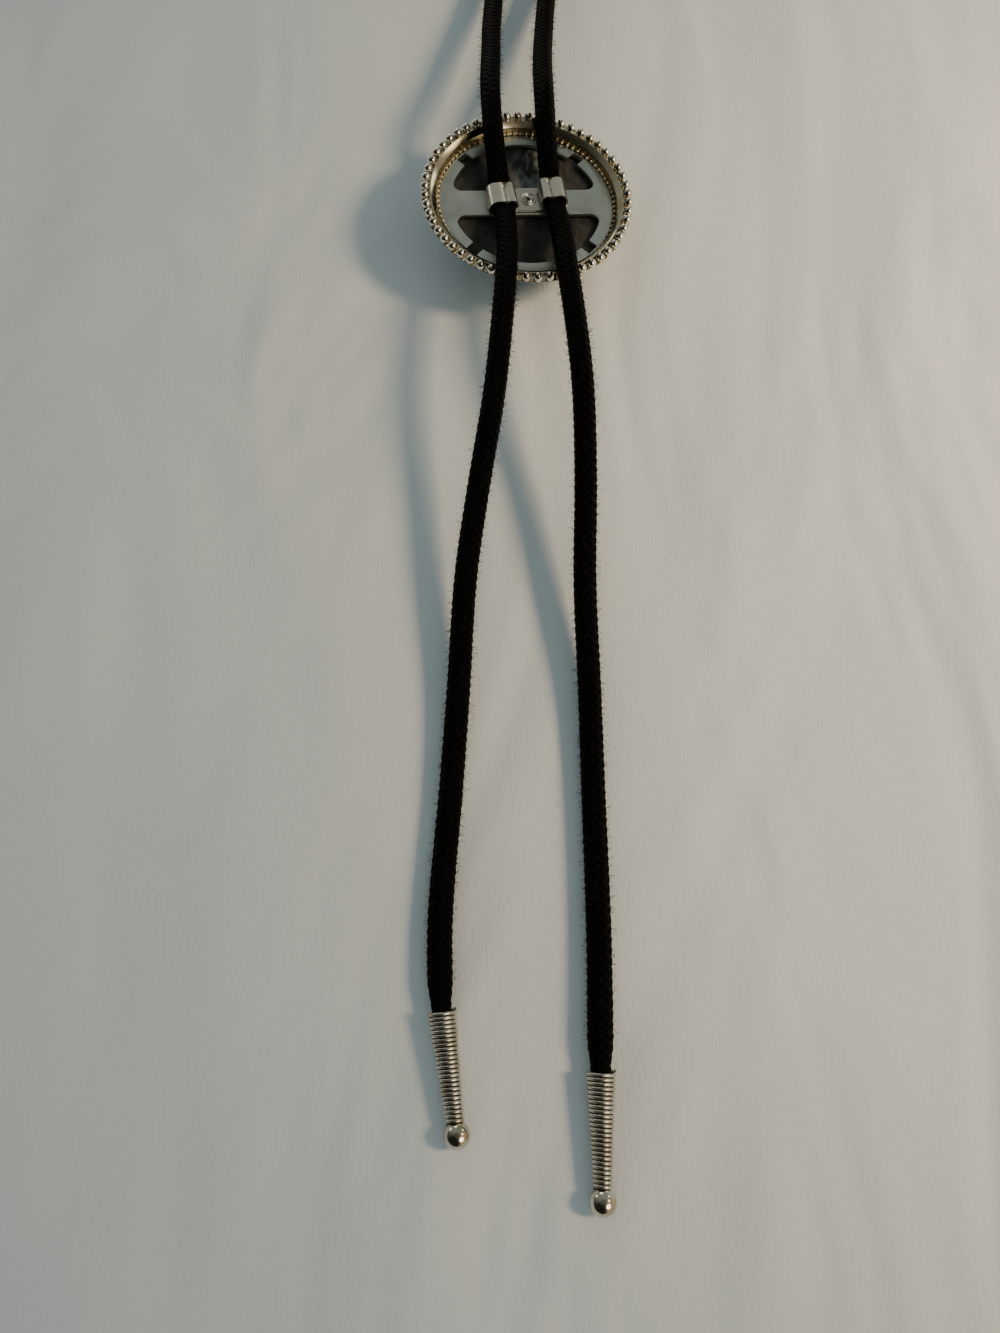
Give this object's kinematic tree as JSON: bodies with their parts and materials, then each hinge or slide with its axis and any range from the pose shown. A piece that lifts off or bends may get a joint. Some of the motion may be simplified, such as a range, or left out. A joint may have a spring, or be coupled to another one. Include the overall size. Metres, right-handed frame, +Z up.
{
  "type": "bolo tie",
  "caption": "Bolo tie lying face down: a round slide with a beaded metal setting and a spring clip, on one long black braided cord that ends in two tips of coiled wire.",
  "frame": {"origin": "on the surface that the tie lies on, straight below the middle of the slide's ring of beads", "axes": "+Z up, out of the slide's back; +Y along the cord from the slide towards the neck loop, so the tips point to -Y; +X to the right as seen from behind the slide"},
  "size_m": [0.0618, 0.4222, 0.0238],
  "materials": {
    "bright_metal": "polished nickel plating",
    "satin_metal": "satin grey plating",
    "clip_metal": "soft bright plating",
    "black_cord": "matte black braid",
    "dark_stone": "glossy dome with a dull back"
  },
  "bodies": {
    "root": {"beaded_rim": "bright_metal", "cabochon": "dark_stone", "back_plate": "satin_metal", "spring_clip": "clip_metal", "eyelet_rivet": "clip_metal", "braided_cord": "black_cord", "left_tip": "bright_metal", "right_tip": "bright_metal"}
  },
  "joints": []
}
